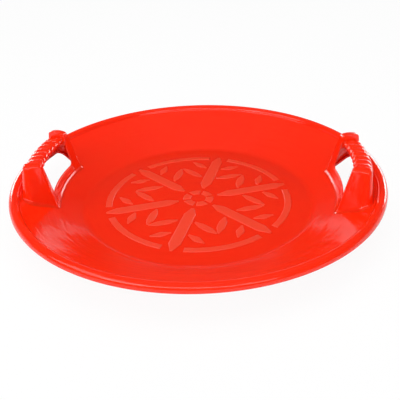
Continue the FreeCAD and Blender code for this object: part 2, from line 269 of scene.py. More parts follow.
def smooth(low, high, value):
    """Smooth step: 0 below low, 1 above high, and 3t^2 - 2t^3 between them."""
    share = np.clip((value - low) / (high - low), 0, 1)
    return share * share * (3 - 2 * share)


def polar(radius, turn, height):
    """Points at a radius and angle about the middle axis, at a height."""
    radius, turn, height = np.broadcast_arrays(radius, turn, height)
    return np.stack((radius * np.cos(turn), radius * np.sin(turn), height), axis=-1)


def stack_rows(*blocks):
    """One grid from blocks of rows, each block starting on the row where the last one ended."""
    wide = [np.stack(np.broadcast_arrays(*block), axis=-1) for block in blocks]
    return chain(*wide)


def cells(index):
    """Corner indices of each cell of a grid of point indices."""
    corners = (index[:-1, :-1], index[1:, :-1], index[1:, 1:], index[:-1, 1:])
    return np.stack(corners, axis=-1).reshape(-1, 4)


def two_skins(outer, inner, *edges):
    """Shell between two grids of points, closed along the named edges of the grids."""
    rows, columns = outer.shape[:2]
    near = np.arange(rows * columns).reshape(rows, columns)
    far = near + near.size
    borders = {
        "first_row": (near[0], far[0]),
        "last_row": (near[-1], far[-1]),
        "first_column": (near[:, 0], far[:, 0]),
        "last_column": (near[:, -1], far[:, -1]),
    }
    faces = [cells(near), cells(far)]
    faces += [cells(np.stack(borders[edge])) for edge in edges]
    return np.concatenate((outer.reshape(-1, 3), inner.reshape(-1, 3))), np.concatenate(faces)


def join_shells(shells):
    """One list of points and one of faces from several shells."""
    starts = np.cumsum([0] + [len(points) for points, _ in shells])
    points = np.concatenate([points for points, _ in shells])
    faces = np.concatenate([faces + start for (_, faces), start in zip(shells, starts)])
    return points, faces


def add_mesh(name, points, faces, material):
    """Object with a closed, smooth mesh of four-cornered faces, with its doubled points merged."""
    mesh = bpy.data.meshes.new(name)
    mesh.vertices.add(len(points))
    mesh.vertices.foreach_set("co", points.astype(np.float32).ravel())
    mesh.loops.add(faces.size)
    mesh.loops.foreach_set("vertex_index", faces.astype(np.int32).ravel())
    mesh.polygons.add(len(faces))
    mesh.polygons.foreach_set("loop_start", np.arange(0, faces.size, 4, dtype=np.int32))
    mesh.update(calc_edges=True)
    shell = bmesh.new()
    shell.from_mesh(mesh)
    bmesh.ops.remove_doubles(shell, verts=shell.verts, dist=SAME_PLACE)
    bmesh.ops.recalc_face_normals(shell, faces=shell.faces)
    shell.to_mesh(mesh)
    shell.free()
    mesh.shade_smooth()
    mesh.set_sharp_from_angle(angle=SMOOTH_LIMIT)
    mesh.materials.append(material)
    piece = bpy.data.objects.new(name, mesh)
    bpy.context.scene.collection.objects.link(piece)
    return piece


def add_piece(name, points, faces, material, *nodes):
    """Piece of the sled, set in the frame in place of the nodes that it stands for."""
    piece = add_mesh(name, points, faces, material)
    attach(piece, BODY)
    if nodes:
        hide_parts(*nodes)


class DishLines:
    """Section of the dish, worked out from its settings."""

    def __init__(self, sizes):
        self.sizes = sizes
        self.wall = sizes.wall_thickness
        self.slope = sizes.wall_slope
        self.corner = np.array((sizes.rim_radius - sizes.wall_width, self.wall))
        along = np.array((math.cos(self.slope), math.sin(self.slope)))
        square = np.array((-math.sin(self.slope), math.cos(self.slope)))
        tangent = sizes.bend_radius * math.tan(self.slope / 2)
        self.bend_middle = self.corner + np.array((-tangent, sizes.bend_radius))
        self.bead_middle = np.array((sizes.rim_radius, sizes.rim_height)) - sizes.bead_radius
        bead = self.bead_middle - self.corner
        sunk = sizes.bead_fillet - bead @ square
        reach = math.sqrt((sizes.bead_radius + sizes.bead_fillet) ** 2 - sunk ** 2)
        self.cone_start = self.corner + along * tangent
        self.cone_end = self.corner + along * (bead @ along - reach)
        self.fillet_middle = self.cone_end + square * sizes.bead_fillet
        up = self.bead_middle - self.fillet_middle
        self.meet = math.atan2(up[1], up[0])

    def cone(self, radius):
        """Height of the upper face of the flared wall."""
        return self.corner[1] + (radius - self.corner[0]) * math.tan(self.slope)

    def top(self, radius):
        """Height of the upper face of the wall and of the hollow arc that leads from it up to the rim."""
        aside = np.clip(radius - self.fillet_middle[0], 0, self.sizes.bead_fillet)
        hollow = self.fillet_middle[1] - np.sqrt(self.sizes.bead_fillet ** 2 - aside ** 2)
        return np.where(radius < self.cone_end[0], self.cone(radius), hollow)

    def ripple(self, radius, turn):
        """Warp of the wall: three long waves round the dish, faded out at the floor, rim and grips."""
        sizes, low, high = self.sizes, self.cone_start[0], self.cone_end[0]
        across = (radius - low) / (high - low)
        waves = sum(part * np.sin(n * turn + twist * across + shift) for n, twist, shift, part in WAVES)
        aside = np.abs((turn + QUARTER) % math.pi - QUARTER)
        fade = smooth(0, WARP_FULL, across) * (1 - smooth(WARP_FADES, 1, across))
        return sizes.ripple * waves * fade * smooth(sizes.ripple_start, sizes.ripple_full, aside)

    def section(self, drop, cone_shares):
        """Outline from the middle of the floor to the foot of the skirt, drop below the upper face.

        Floor line, bend arc, wall line, fillet arc, bead arc, skirt line and half of the rounded hem.
        """
        sizes, down = self.sizes, -QUARTER
        bend = arc(self.bend_middle, sizes.bend_radius + drop, down, down + self.slope, BEND_CELLS)
        hollow = sizes.bead_fillet + drop
        fillet = arc(self.fillet_middle, hollow, down + self.slope, self.meet, FILLET_CELLS)
        bead = arc(self.bead_middle, sizes.bead_radius - drop, math.pi + self.meet, 0, BEAD_CELLS)
        half = self.wall / 2
        hem_middle = (sizes.rim_radius - half, self.bead_middle[1] - sizes.skirt_drop + half)
        hem = arc(hem_middle, half, math.pi if drop else 0, math.pi + QUARTER if drop else down, HEM_CELLS)
        return chain(
            line((0, self.wall - drop), bend[0], shares(FLOOR_CELLS)),
            bend,
            line(bend[-1], fillet[0], cone_shares),
            fillet,
            bead,
            line(bead[-1], hem[0], shares(SKIRT_CELLS)),
            hem,
        )


def leaning(start, end):
    """Straight line in section: a function of the height, through two places given as (value, height)."""
    lean = (end[0] - start[0]) / (end[1] - start[1])
    return lambda height: start[0] + lean * (height - start[1])


class HandleLines:
    """Faces of a hand grip, each a straight lean in section, worked out from the settings."""

    def __init__(self, sizes, dish):
        self.sizes, self.dish, self.wall = sizes, dish, dish.wall
        self.edge = sizes.height - sizes.edge_drop
        self.outer_foot = dish.cone_end[0] - sizes.foot_clearance
        self.inner_foot = self.outer_foot - sizes.foot_depth
        self.outer_low = dish.cone(self.outer_foot)
        self.inner_low = dish.cone(self.inner_foot)
        outer_top = self.outer_foot - sizes.shoulder_setback
        inner_top = outer_top - sizes.shoulder_depth
        end_top = sizes.window_angle + sizes.shoulder_span
        end_foot = end_top + sizes.foot_spread
        # Radius of the inner and of the outer face, and angle of the end face's inner and outer edge
        self.inner = leaning((self.inner_foot, self.inner_low), (inner_top, self.edge))
        self.outer = leaning((self.outer_foot, self.outer_low), (outer_top, self.edge))
        self.end = leaning((end_top, self.edge), (end_foot, self.inner_low))
        self.outer_end = leaning((end_top, self.edge), (end_foot + sizes.foot_flare, self.outer_low))
        self.middle = (inner_top + outer_top) / 2
        self.half_depth = (outer_top - inner_top) / 2
        self.grip_top = sizes.height - sizes.grip_drop
        self.lip = self.grip_top - sizes.flank_height
        self.flank = inner_top + sizes.grip_setback
        back_top = self.outer(self.grip_top) - sizes.grip_inset
        self.back_lean = (back_top - self.outer_foot) / (self.grip_top - self.outer_low)
        # Radius of the bar's back
        self.back = leaning((back_top, self.grip_top), (self.outer_foot, self.outer_low))
        self.sill_top = self.inner_low + sizes.sill_rise

    def outer_corner(self, height):
        """Rounding of a post's upright outer edge at a height."""
        low = np.clip((self.edge - height) / (self.edge - self.outer_low), 0, 1)
        return self.sizes.outer_corner + low * (self.sizes.foot_corner - self.sizes.outer_corner)

    def roof(self, radius, turn):
        """Height of a shoulder: a crown that falls off with the square of the distance from its top."""
        across = (radius - self.middle) / self.half_depth
        along = np.maximum(turn - self.sizes.window_angle, 0) / self.sizes.shoulder_span
        fall = ROOF_ACROSS * across ** 2 + ROOF_ALONG * along ** 2
        return self.sizes.height - self.sizes.edge_drop * fall

    def corner_rise(self, turn, corner):
        """Rise of a rounded corner of the hand opening: a quarter circle that ends at the post."""
        gap = np.clip((self.sizes.window_angle - np.abs(turn)) * self.inner_foot, 0, corner)
        return corner - np.sqrt(corner ** 2 - (corner - gap) ** 2)

    def hole(self):
        """Inner radius, start of the rounded outer corners and outer radius of the hole under the grip."""
        inner = self.inner_foot + self.wall - self.sizes.hole_margin
        outer = self.outer_foot - self.wall + self.sizes.hole_margin
        return inner, outer - self.sizes.foot_corner + self.wall, outer

    def hole_half(self, radius):
        """Half angle of the hole at a radius: straight sides with a quarter circle at each outer corner."""
        inner, bend, outer = self.hole()
        thin = self.wall - self.sizes.hole_margin
        near, far = self.end(self.inner_low) - thin / inner, self.outer_end(self.outer_low) - thin / outer
        straight = near + np.clip((radius - inner) / (outer - inner), 0, 1) * (far - near)
        round_share = np.clip((radius - bend) / (outer - bend), 0, 1)
        return straight - (outer - bend) / outer * (1 - np.sqrt(1 - round_share ** 2))


def dish_shell(lines):
    """The dish: its section turned once round the middle axis, less the cells of the two hand holes.

    A point is (r cos a, r sin a, z + ripple(r, a)), with (r, z) on the section and a round the dish. The
    underside is the same grid one wall thickness below, and each hole has a wall between the two.
    """
    dish = lines.dish
    inner, bend, outer = lines.hole()
    start, end = dish.cone_start[0], dish.cone_end[0]
    before, straight, corner, after = CONE_CELLS
    rows = np.concatenate((
        np.linspace(start, inner, before, endpoint=False),
        np.linspace(inner, bend, straight, endpoint=False),
        bend + (outer - bend) * np.sin(np.linspace(0, QUARTER, corner, endpoint=False)),
        np.linspace(outer, end, after + 1),
    ))
    cone_shares = (rows[:, None] - start) / (end - start)
    half = lines.hole_half(dish.section(0, cone_shares)[:, :1])
    gap = np.linspace(-1, 1, HOLE_CELLS, endpoint=False) * half
    side = half + np.linspace(0, 1, RING_CELLS, endpoint=False) * (math.pi - 2 * half)
    turn = np.concatenate((gap, side, gap + math.pi, side + math.pi), axis=1)
    skins = []
    for drop in (0, dish.wall):
        radius, height = np.split(dish.section(drop, cone_shares), 2, axis=1)
        skins.append(polar(radius, turn, height + dish.ripple(radius, turn)))
    rows, columns = skins[0].shape[:2]
    near = np.arange(rows * columns).reshape(rows, columns)
    near = np.concatenate((near, near[:, :1]), axis=1)
    far = near + rows * columns
    low = FLOOR_CELLS + BEND_CELLS + before
    high = low + straight + corner
    solid = np.ones((rows - 1, columns), dtype=bool)
    walls = []
    for left in (0, HOLE_CELLS + RING_CELLS):
        right = left + HOLE_CELLS
        solid[low:high, left:right] = False
        across, around = slice(low, high + 1), slice(left, right + 1)
        for edge in ((low, around), (high, around), (across, left), (across, right)):
            walls.append(cells(np.stack((near[edge], far[edge]))))
    faces = [cells(near)[solid.ravel()], cells(far)[solid.ravel()]] + walls
    return np.concatenate([skin.reshape(-1, 3) for skin in skins]), np.concatenate(faces)


def settle(step, height):
    """Height where a leaning face meets the wall, by repeated steps from a first guess."""
    for _ in range(SETTLE_STEPS):
        height = step(height)
    return height


def foot_fillet(sizes, share):
    """Lift and flare of the hollow quarter circle at a foot, from share 0 at its top to 1 at its edge."""
    bend = share * QUARTER
    lift = sizes.foot_fillet * (1 - np.sin(bend)) - sizes.fillet_sink * share
    return lift, sizes.foot_fillet * (1 - np.cos(bend))


def placed(skins, middle, sign=1):
    """Points of skins given as radius, angle and height, on the plus or minus side of a grip's angle."""
    return [polar(skin[..., 0], middle + sign * skin[..., 1], skin[..., 2]) for skin in skins]


def post_plan(lines, height, inset, window, run, share):
    """Level section of a post: radius, angle and outward direction of each column.

    The five runs go along the inner face, round the inner corner, along the end face, round the outer
    corner and back along the outer face, all moved in by the inset. Each corner is a quarter circle.
    """
    sizes = lines.sizes
    inner, outer = lines.inner(height) + inset, lines.outer(height) - inset
    small = np.maximum(sizes.inner_corner - inset, SAME_PLACE)
    large = np.maximum(lines.outer_corner(height) - inset, SAME_PLACE)
    near, far = lines.end(height) - inset / inner, lines.outer_end(height) - inset / outer
    inner_end, outer_end = near - small / inner, far - large / outer
    sine, cosine = np.sin(share * QUARTER), np.cos(share * QUARTER)

    def by_run(*values):
        """The value of each column's own run."""
        return np.choose(run, np.broadcast_arrays(*values, inner + share)[:-1])

    radius = by_run(
        inner,
        inner + small * (1 - cosine),
        inner + small + share * (outer - large - inner - small),
        outer - large * (1 - sine),
        outer,
    )
    turn = by_run(
        window + share * (inner_end - window),
        inner_end + small / inner * sine,
        near + share * (far - near),
        outer_end + large / outer * cosine,
        outer_end + share * (window - outer_end),
    )
    return radius, turn, by_run(-1, -cosine, 0, sine, 1), by_run(0, sine, 1, cosine, 0)


def post_skin(lines, inset, fold, lift, flare, rounding, roof_drop):
    """One skin of a post, as radius, angle and height on a grid of rows from the foot up to the roof.

    Foot rows stand lift above the wall and flare away from the post. Side rows lean up straight. Top rows
    turn over the edge of the shoulder on a quarter circle. Roof rows close in on the middle of the
    shoulder under its crown. Outer columns turn in at the hand opening on a quarter circle, the fold.
    """
    sizes, dish = lines.sizes, lines.dish
    run = np.repeat(np.arange(len(POST_CELLS)), POST_CELLS)
    share = np.concatenate([np.arange(count) / count for count in POST_CELLS])
    bend = np.linspace(QUARTER, 0, EDGE_CELLS, endpoint=False)
    turned_in, moved = fold * (1 - np.cos(bend)), fold * (1 - np.sin(bend))
    first, last = np.zeros(EDGE_CELLS, int), np.full(EDGE_CELLS + 1, len(POST_CELLS) - 1)
    run = np.concatenate((first, run, last))
    share = np.concatenate((first, share, np.ones(EDGE_CELLS + 1)))
    plain = np.zeros(sum(POST_CELLS) + 1)
    edge = np.concatenate((turned_in, plain, turned_in[::-1]))
    window = sizes.window_angle + np.concatenate((moved, plain + fold, moved[::-1])) / lines.middle

    def plan(height, more):
        """The level section at a height, moved in by some more."""
        return post_plan(lines, height, inset + edge + more, window, run, share)

    foot = settle(lambda height: dish.top(plan(height, 0)[0]), np.full(len(run), lines.inner_low))
    radius, turn, outwards, sideways = plan(foot + lift, 0)
    reach = flare * (1 - (1 - sizes.rim_share) * np.maximum(outwards, 0))
    radius, turn = radius + outwards * reach, turn + sideways * flare / radius
    foot_rows = (radius, turn, dish.top(radius) + lift)

    radius, turn, _, _ = plan(lines.edge, 0)
    side_top = lines.roof(radius, turn) - roof_drop - edge - rounding
    low = foot_rows[2][-1]
    height = low + shares(SIDE_CELLS) * (side_top - low)
    side_rows = (*plan(height, 0)[:2], height)

    bend = shares(ROUND_CELLS) * QUARTER
    radius, turn, _, _ = plan(side_top + rounding * np.sin(bend), rounding * (1 - np.cos(bend)))
    height = lines.roof(radius, turn) - roof_drop - edge
    level = height[0] - rounding - side_top
    top_rows = (radius, turn, height - rounding * (1 - np.sin(bend)) - level * (1 - np.sin(bend)))

    closing = shares(ROOF_CELLS)
    radius = radius[-1] + closing * (lines.middle - radius[-1])
    turn = turn[-1] + closing * (window - turn[-1])
    roof_rows = (radius, turn, lines.roof(radius, turn) - roof_drop - edge)
    return stack_rows(foot_rows, side_rows, top_rows, roof_rows)


def post_shell(lines, middle, sign):
    """A hollow post of the grip at an angle, on its plus or minus side: an outer and an inner skin."""
    sizes, wall = lines.sizes, lines.wall
    share = 1 - shares(ROUND_CELLS)
    lift, flare = foot_fillet(sizes, share)
    outer = post_skin(lines, 0, sizes.edge_rounding, lift, flare, sizes.top_rounding, 0)
    under = sizes.grip_drop + wall
    inner = post_skin(lines, wall, 0, -wall * np.cos(share * QUARTER), 0, sizes.edge_rounding, under)
    return two_skins(*placed((outer, inner), middle, sign), "first_row", "first_column", "last_column")


def rib_height(sizes, turn):
    """Height of the ribs along the bar, from 0 between them to 1: (1 - x^2)^0.5 across each rib."""
    middle = (sizes.rib_count - 1) / 2
    place = np.clip(np.round(turn / sizes.rib_pitch + middle), 0, sizes.rib_count - 1)
    across = (turn - (place - middle) * sizes.rib_pitch) / (sizes.rib_width / 2)
    return np.sqrt(np.maximum(1 - across ** 2, 0))


def grip_skin(lines, turn, inset, rib, lift, flare):
    """One skin of the bar, as radius, angle and height on rows from its lip over the top to its foot.

    The runs are half of the rounded lip, the upright flank, a quarter circle, the crowned top, an arc down
    to the lean of the back, the back wall and the foot. The flank turns in to each post on a quarter
    circle. Ribs stand out square to the top and fade on both sides.
    """
    sizes, half = lines.sizes, lines.wall / 2
    rounding = max(sizes.grip_rounding - inset, SAME_PLACE)
    top = lines.grip_top - inset
    flank = lines.flank - lines.corner_rise(turn, sizes.grip_corner)
    lip = lines.lip - lines.corner_rise(turn, sizes.lip_corner)
    bend = shares(ROUND_CELLS) * QUARTER
    sine, cosine = np.sin(bend), np.cos(bend)
    rise = rib * rib_height(sizes, turn)

    height = lip + half * (1 - cosine)
    lip_rows = (flank + half + (inset - half) * sine, turn, height)

    share = shares(FLANK_CELLS)
    height = lip + half + share * (top - rounding - lip - half)
    flank_rows = (flank + inset - rise * smooth(RIB_START, 1, share), turn, height)

    inner_edge = flank + inset + rounding
    round_rows = (inner_edge - (rounding + rise) * cosine, turn, top - rounding * (1 - sine) + rise * sine)

    far_bend = QUARTER + math.atan(lines.back_lean)
    join = top - rounding * (1 - math.cos(far_bend))
    outer_edge = lines.back(join) - inset - rounding * math.sin(far_bend)
    share = shares(CROWN_CELLS)
    crown = sizes.grip_crown * (1 - (2 * share - 1) ** 2) ** 2
    top_rows = (inner_edge + share * (outer_edge - inner_edge), turn, top + crown + rise)

    bend = shares(ROUND_CELLS) * far_bend
    drop = rounding * (1 - np.cos(bend))
    far_rows = (outer_edge + (rounding + rise) * np.sin(bend), turn, top - drop + rise * np.cos(bend))

    foot = settle(lambda height: lines.dish.top(lines.back(height) - inset), lines.outer_low)
    height = join + shares(BACK_CELLS) * (foot + lift[0] - join)
    out = rise * (1 - smooth(0, sizes.rib_reach, join - height))
    radius = lines.back(height) - inset + out * math.sin(far_bend)
    back_rows = (radius, turn, height + out * math.cos(far_bend))

    radius = lines.back(foot + lift) - inset + flare
    foot_rows = (radius, turn, lines.dish.top(radius) + lift)
    return stack_rows(lip_rows, flank_rows, round_rows, top_rows, far_rows, back_rows, foot_rows)


def grip_shell(lines, middle):
    """The ribbed bar of the grip at an angle: an outer skin with ribs and a plain inner one."""
    sizes, wall = lines.sizes, lines.wall
    turn = np.linspace(-sizes.window_angle, sizes.window_angle, GRIP_CELLS + 1)
    share = shares(ROUND_CELLS)
    lift, flare = foot_fillet(sizes, share)
    outer = grip_skin(lines, turn, 0, sizes.rib_rise, lift, flare * sizes.rim_share)
    inner = grip_skin(lines, turn, wall, 0, -wall * np.sin(share * QUARTER), 0)
    return two_skins(*placed((outer, inner), middle), "last_row", "first_column", "last_column")


def sill_shell(lines, middle):
    """The upstand below the hand opening: a front face and a back face that meet on a rounded ridge.

    Each face starts at the wall, leans up with the inner face and turns over on a quarter circle. The
    ridge rises on a quarter circle to the post at each end.
    """
    sizes, wall, half = lines.sizes, lines.wall, lines.wall / 2
    turn = np.linspace(-sizes.window_angle, sizes.window_angle, SILL_CELLS + 1)
    turn = sizes.window_angle * np.sin(turn / sizes.window_angle * QUARTER)
    ridge = lines.sill_top + lines.corner_rise(turn, sizes.window_corner)
    bend = shares(ROUND_CELLS) * QUARTER
    skins = []
    front, back = foot_fillet(sizes, 1 - shares(ROUND_CELLS)), (-wall * np.cos(bend), 0)
    for depth, (lift, flare) in ((0, front), (wall, back)):
        foot = settle(lambda height: lines.dish.cone(lines.inner(height) + depth), lines.inner_low)
        radius = lines.inner(foot + lift) + depth - flare
        foot_rows = (radius, turn, lines.dish.cone(radius) + lift)
        height = foot + lift[-1] + shares(SIDE_CELLS) * (ridge - half - foot - lift[-1])
        side_rows = (lines.inner(height) + depth, turn, height)
        height = ridge - half * (1 - np.sin(bend))
        round_rows = (lines.inner(height) + half + (depth - half) * np.cos(bend), turn, height)
        skins.append(stack_rows(foot_rows, side_rows, round_rows))
    return two_skins(*placed(skins, middle), "first_row", "first_column", "last_column")


def bevel_ticks(size, bevel):
    """Grid places along a bar: close together on the bevels at both ends and even between them."""
    edge = np.linspace(0, bevel, BEVEL_CELLS, endpoint=False)
    between = np.linspace(bevel, size - bevel, BAR_CELLS)
    return np.concatenate((edge, between, size - edge[::-1]))


def low_bar(sizes, floor, run, width, place):
    """Low bar on the floor, with the function that places distances along and across it on the floor.

    Its top rises on a quarter sine from the nearest edge over the bevel and is then flat. Its base is sunk.
    """
    along, across = bevel_ticks(run, sizes.bevel)[:, None], bevel_ticks(width, sizes.bevel)
    nearest = np.minimum(np.minimum(along, run - along), np.minimum(across, width - across))
    rise = sizes.rise * np.sin(np.clip(nearest / sizes.bevel, 0, 1) * QUARTER)
    heights = (floor + rise, floor - sizes.sink)
    skins = [np.stack(np.broadcast_arrays(*place(along, across), height), axis=-1) for height in heights]
    return two_skins(*skins, "first_row", "last_row", "first_column", "last_column")


def crystal_bar(sizes, floor, start, turn, run, width):
    """Straight low bar with pointed ends, from a start point on the floor in a direction."""
    def place(along, across):
        """Ahead of the start and to its side, drawn in towards both ends."""
        end_gap = np.minimum(along, run - along)
        narrow = sizes.tip_share + (1 - sizes.tip_share) * np.clip(end_gap / sizes.point, 0, 1)
        aside = (across - width / 2) * narrow
        x = start[0] + along * math.cos(turn) - aside * math.sin(turn)
        return x, start[1] + along * math.sin(turn) + aside * math.cos(turn)

    return low_bar(sizes, floor, run, width, place)


def crystal_arc(sizes, floor, radius, width, start, end):
    """Curved low bar about the middle of the floor, from one angle to another."""
    def place(along, across):
        """Round the middle and out from it."""
        turn, reach = start + along / radius, radius - width / 2 + across
        return reach * np.cos(turn), reach * np.sin(turn)

    return low_bar(sizes, floor, (end - start) * radius, width, place)


def relief_shell(sizes, floor):
    """Snow crystal in low relief: straight arms with two pairs of branches, a ring in sections and a hub."""
    shells = []
    step = math.tau / sizes.arms
    branches = (
        (sizes.inner_branch, sizes.inner_branch_length),
        (sizes.outer_branch, sizes.outer_branch_length),
    )
    for arm in range(sizes.arms):
        turn = sizes.turn + arm * step
        ahead = np.array((math.cos(turn), math.sin(turn)))
        aside = np.array((-ahead[1], ahead[0]))
        run = sizes.arm_end - sizes.arm_start
        shells.append(crystal_bar(sizes, floor, ahead * sizes.arm_start, turn, run, sizes.arm_width))
        offset = sizes.arm_width / 2 + sizes.branch_gap
        for side in (-1, 1):
            for place, reach in branches:
                root = ahead * place + aside * side * offset
                shells.append(crystal_bar(sizes, floor, root, turn + side * sizes.branch_turn, reach,
                                          sizes.branch_width))
        clear = (sizes.arm_width / 2 + sizes.ring_gap) / sizes.ring_radius
        shells.append(crystal_arc(sizes, floor, sizes.ring_radius, sizes.ring_width, turn + clear,
                                  turn + step - clear))
        clear = sizes.branch_gap / sizes.hub_radius / 2
        shells.append(crystal_arc(sizes, floor, sizes.hub_radius, sizes.branch_width, turn + clear,
                                  turn + step - clear))
    return join_shells(shells)


def set_inputs(node, values):
    """Give a shader node's inputs their values, by name or number."""
    for socket, value in values.items():
        node.inputs[socket].default_value = value


def add_node(tree, kind, values=None, operation=None):
    """Shader node of a kind, with the values of its inputs and its operation."""
    node = tree.nodes.new(f"ShaderNode{kind}")
    if operation:
        node.operation = operation
    set_inputs(node, values or {})
    return node


def add_tint(tree, **colours):
    """Node that mixes two colours."""
    tint = add_node(tree, "Mix")
    tint.data_type = "RGBA"
    set_inputs(tint, colours)
    return tint


def wire(tree, *rows):
    """Links of a node tree: each row is a node and its output, and a node and its input."""
    for source, output, target, socket in rows:
        tree.links.new(source.outputs[output], target.inputs[socket])


def moulded_group():
    """Node group of the moulding's finish: slow flow marks, fine grain and a height for the bump.

    The height has streaks that run round the middle axis: noise at (direction, scaled distance) from it.
    """
    name = "moulded_finish"
    if name in bpy.data.node_groups:
        return bpy.data.node_groups[name]
    group = bpy.data.node_groups.new(name, "ShaderNodeTree")
    sockets = {
        "INPUT": ("Grain scale", "Grain share", "Streak share"),
        "OUTPUT": ("Flow", "Grain", "Height"),
    }
    for way, names in sockets.items():
        for socket in names:
            group.interface.new_socket(socket, in_out=way, socket_type="NodeSocketFloat")
    inputs, outputs = group.nodes.new("NodeGroupInput"), group.nodes.new("NodeGroupOutput")
    place = add_node(group, "TexCoord")
    flow, grain, streak = (add_node(group, "TexNoise", values) for values in (FLOW, GRAIN, STREAK))
    level = add_node(group, "VectorMath", {1: (1, 1, 0)}, "MULTIPLY")
    away = add_node(group, "VectorMath", operation="LENGTH")
    ahead = add_node(group, "VectorMath", operation="NORMALIZE")
    split, join = add_node(group, "SeparateXYZ"), add_node(group, "CombineXYZ")
    scaled = add_node(group, "Math", {1: STREAKS_OUTWARDS}, "MULTIPLY")
    streaked, height = add_node(group, "Mix"), add_node(group, "Mix")
    wire(
        group,
        (place, "Object", flow, "Vector"), (place, "Object", grain, "Vector"),
        (inputs, "Grain scale", grain, "Scale"), (place, "Object", level, 0),
        (level, "Vector", away, 0), (level, "Vector", ahead, 0), (ahead, "Vector", split, "Vector"),
        (split, "X", join, "X"), (split, "Y", join, "Y"), (away, "Value", scaled, 0),
        (scaled, 0, join, "Z"), (join, "Vector", streak, "Vector"),
        (inputs, "Streak share", streaked, "Factor"), (flow, "Fac", streaked, "A"),
        (streak, "Fac", streaked, "B"), (inputs, "Grain share", height, "Factor"),
        (streaked, "Result", height, "A"), (grain, "Fac", height, "B"), (flow, "Fac", outputs, "Flow"),
        (grain, "Fac", outputs, "Grain"), (height, "Result", outputs, "Height"),
    )
    return group


def plastic(name, light, dark, roughness, mask, marks, spread, bump_height):
    """Moulded plastic: colour between two reds and roughness between two values, by the finish group."""
    material = bpy.data.materials.get(name)
    if material:
        return material
    material = bpy.data.materials.new(name)
    material.use_nodes = True
    tree = material.node_tree
    shader = tree.nodes["Principled BSDF"]
    set_inputs(shader, PLASTIC)
    finish = add_node(tree, "Group")
    finish.node_tree = moulded_group()
    set_inputs(finish, marks)
    tint = add_tint(tree, A=(*dark, 1), B=(*light, 1))
    gloss = add_node(tree, "MapRange", {"To Min": roughness - spread, "To Max": roughness + spread})
    bump = add_node(tree, "Bump", {"Strength": 1, "Distance": bump_height})
    wire(
        tree,
        (finish, mask, tint, "Factor"), (tint, "Result", shader, "Base Color"),
        (finish, mask, gloss, "Value"), (gloss, "Result", shader, "Roughness"),
        (finish, "Height", bump, "Height"), (bump, "Normal", shader, "Normal"),
    )
    return material


def gloss_red():
    """Polished red plastic of the whole sled, with faint flow marks and a slow wave in its shine."""
    finish = bpy.context.scene.sled_finish
    marks = {"Grain scale": 700, "Grain share": 0.002, "Streak share": 0.12}
    return plastic("gloss_red_plastic", finish.red, finish.deep_red, finish.gloss_roughness, "Flow", marks,
                   spread=0.03, bump_height=3 * MM)


def satin_red():
    """Fine spark-textured red plastic of the raised crystal."""
    finish = bpy.context.scene.sled_finish
    marks = {"Grain scale": 1600, "Grain share": 0.9, "Streak share": 0}
    return plastic("satin_red_plastic", finish.satin_red, finish.red, finish.satin_roughness, "Grain", marks,
                   spread=0.08, bump_height=0.05 * MM)


def handle_lines(scene):
    """Lines of the grips on the dish of a scene's settings."""
    return HandleLines(scene.sled_handle, DishLines(scene.sled_dish))


def add_pair(scene, kind, ending, shell):
    """One piece for each grip, from the function that makes its shell."""
    lines = handle_lines(scene)
    for side, middle in HANDLES.items():
        node = f"{side}_{kind}"
        add_piece(f"{node}_{ending}", *shell(lines, middle), gloss_red(), node)


class SLED_OT_dish(bpy.types.Operator):
    """Make the dish with its flared wall, rolled rim and hand holes"""

    bl_idname = "sled.dish"
    bl_label = "Dish"

    def execute(self, context):
        add_piece("dish_shell", *dish_shell(handle_lines(context.scene)), gloss_red(), "dish")
        return {"FINISHED"}


class SLED_OT_posts(bpy.types.Operator):
    """Make the four hollow posts that carry the grips"""

    bl_idname = "sled.posts"
    bl_label = "Posts"

    def execute(self, context):
        lines = handle_lines(context.scene)
        for side, middle in HANDLES.items():
            for end, sign in ENDS[side].items():
                node = f"{side}_{end}_post"
                add_piece(f"{node}_shell", *post_shell(lines, middle, sign), gloss_red(), node)
        return {"FINISHED"}


class SLED_OT_grips(bpy.types.Operator):
    """Make the ribbed bars that the hands hold"""

    bl_idname = "sled.grips"
    bl_label = "Grips"

    def execute(self, context):
        add_pair(context.scene, "grip", "bar", grip_shell)
        return {"FINISHED"}


class SLED_OT_sills(bpy.types.Operator):
    """Make the upstands below the hand openings"""

    bl_idname = "sled.sills"
    bl_label = "Sills"

    def execute(self, context):
        add_pair(context.scene, "sill", "ridge", sill_shell)
        return {"FINISHED"}


class SLED_OT_relief(bpy.types.Operator):
    """Make the plain snow crystal raised on the floor"""

    bl_idname = "sled.relief"
    bl_label = "Floor relief"

    def execute(self, context):
        scene = context.scene
        shell = relief_shell(scene.sled_relief, scene.sled_dish.wall_thickness)
        add_piece("floor_relief", *shell, satin_red())
        return {"FINISHED"}


